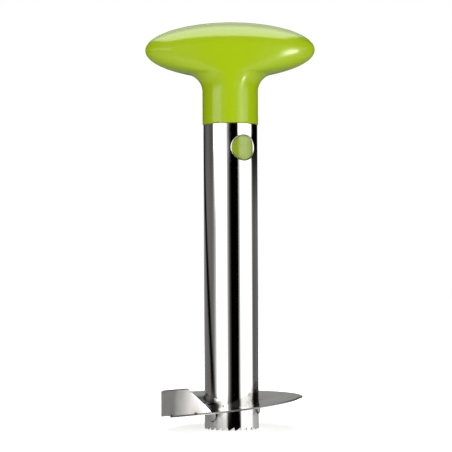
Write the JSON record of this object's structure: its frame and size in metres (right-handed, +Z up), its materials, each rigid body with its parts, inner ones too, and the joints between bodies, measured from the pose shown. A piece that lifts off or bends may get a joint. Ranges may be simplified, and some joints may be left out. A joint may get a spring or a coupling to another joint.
{
  "type": "pineapple corer",
  "caption": "Pineapple corer: a saw-toothed steel tube with a helical slicing blade and an upright side blade, under a lift-off T-handle held by push buttons.",
  "frame": {"origin": "on the tube's axis, at the tips of the saw teeth on which the tool stands", "axes": "+Z up along the tube to the handle, X along the handle's bar, the front of the tool faces -Y"},
  "size_m": [0.1024, 0.0852, 0.2442],
  "materials": {
    "lime_shell": "gloss",
    "lime_latch": "satin",
    "polished_steel": "polished",
    "weld_steel": "satin"
  },
  "bodies": {
    "core": {"core_tube": "polished_steel", "slicing_blade": "polished_steel", "side_blade": "polished_steel", "blade_welds": "weld_steel", "side_blade_welds": "weld_steel"},
    "handle": {"handle_front_shell": "lime_shell", "handle_rear_shell": "lime_shell", "plug": "lime_latch"},
    "front_button": {"front_button": "lime_latch"},
    "rear_button": {"rear_button": "lime_latch"}
  },
  "joints": [
    {"name": "handle_lift", "type": "slide", "parent": "core", "child": "handle", "axis": [0, 0, 1], "range_m": [0, 0.042], "deforming": ["front_button", "rear_button"]},
    {"name": "front_button_press", "type": "hinge", "parent": "handle", "child": "front_button", "pos_m": [0.00702, -0.01217, 0.146], "axis": [-0.866, -0.5, 0], "range_deg": [0, 6.5], "stiffness_Nm_per_rad": 1.5},
    {"name": "rear_button_press", "type": "hinge", "parent": "handle", "child": "rear_button", "pos_m": [-0.00702, 0.01217, 0.146], "axis": [0.866, 0.5, 0], "range_deg": [0, 6.5], "stiffness_Nm_per_rad": 1.5}
  ]
}
